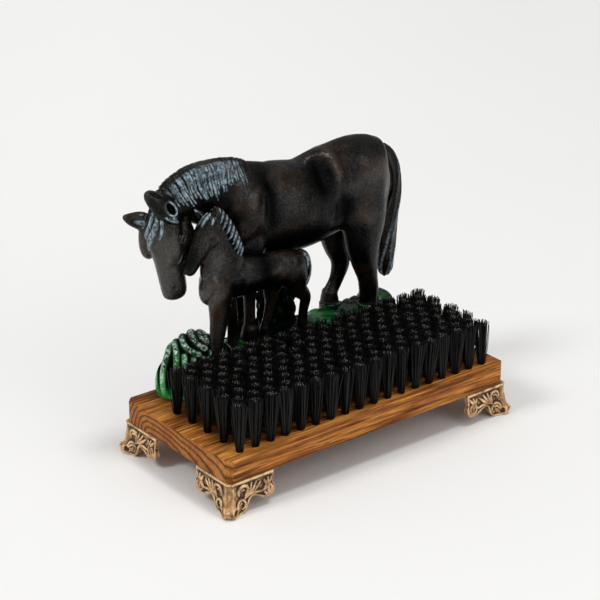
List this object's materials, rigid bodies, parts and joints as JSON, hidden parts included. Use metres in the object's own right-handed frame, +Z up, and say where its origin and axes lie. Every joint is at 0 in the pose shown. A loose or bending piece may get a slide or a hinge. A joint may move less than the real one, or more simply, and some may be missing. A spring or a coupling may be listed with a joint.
{
  "type": "boot brush",
  "caption": "Boot brush with a cast mare and foal on green turf along the back of a wooden board, staggered bristle tufts in front, and cast scrolled corner feet.",
  "frame": {"origin": "on the ground under the middle of the board", "axes": "+X along the board, the mare faces -X, +Y from the bristles to the figure at the back, +Z up"},
  "size_m": [0.2816, 0.1416, 0.2254],
  "materials": {
    "board_wood": "oiled, satin",
    "foot_bronze": "antiqued",
    "fixing_steel": "plain",
    "bristle": "satin",
    "turf_green": "gloss paint on cast iron",
    "iron_black": "satin paint on cast iron"
  },
  "bodies": {
    "root": {"base_board": "board_wood", "foot_front_left": "foot_bronze", "foot_front_right": "foot_bronze", "foot_rear_left": "foot_bronze", "foot_rear_right": "foot_bronze", "foot_screws": "fixing_steel", "tuft_row_1": "bristle", "tuft_row_2": "bristle", "tuft_row_3": "bristle", "tuft_row_4": "bristle", "tuft_row_5": "bristle", "tuft_row_6": "bristle", "tuft_row_7": "bristle", "tuft_row_8": "bristle", "tuft_row_9": "bristle", "turf": "turf_green", "mare": "iron_black", "foal": "iron_black", "figure_washers": "fixing_steel", "figure_bolts": "fixing_steel"}
  },
  "joints": []
}
